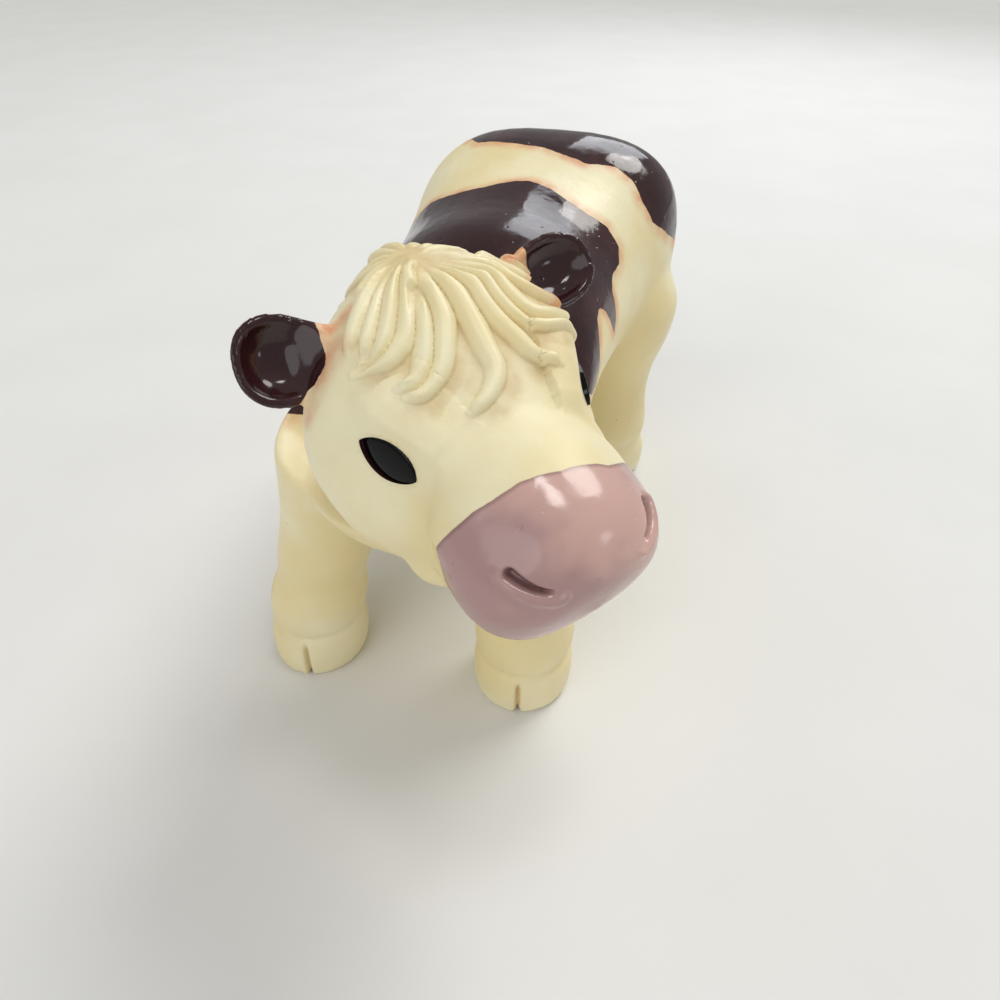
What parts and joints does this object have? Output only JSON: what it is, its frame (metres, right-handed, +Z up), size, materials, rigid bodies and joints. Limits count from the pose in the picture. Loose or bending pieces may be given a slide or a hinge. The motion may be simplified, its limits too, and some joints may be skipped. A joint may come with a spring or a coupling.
{
  "type": "toy farm animal figure",
  "caption": "Small hollow vinyl calf standing on four legs, with a moulded forelock, cupped ears, inset eyes and a head that swivels on a neck plug.",
  "frame": {"origin": "middle of the bounding box at floor level, under the belly", "axes": "+Z up, the calf's tail end towards +Y and its chest towards -Y, its own left side towards +X; the head is turned 49 degrees to its left at rest"},
  "size_m": [0.089, 0.1638, 0.1029],
  "materials": {
    "cream_vinyl": "soft rotocast vinyl, aged cream, waxy sheen; brown and pink gloss paint on top of it is added by the looks",
    "hard_white_plastic": "injection-moulded hard plastic, dull off-white",
    "black_gloss_plastic": "polished black plastic"
  },
  "bodies": {
    "body": {"body_shell": "cream_vinyl", "tail": "cream_vinyl"},
    "head": {"head_shell": "cream_vinyl", "neck_plug": "hard_white_plastic", "eye_left": "black_gloss_plastic", "eye_right": "black_gloss_plastic"}
  },
  "joints": [
    {"name": "neck_swivel", "type": "hinge", "parent": "body", "child": "head", "pos_m": [-0.00312, -0.03746, 0.068], "axis": [0, -0.1045, 0.9945], "range_deg": [-119, 21]}
  ]
}
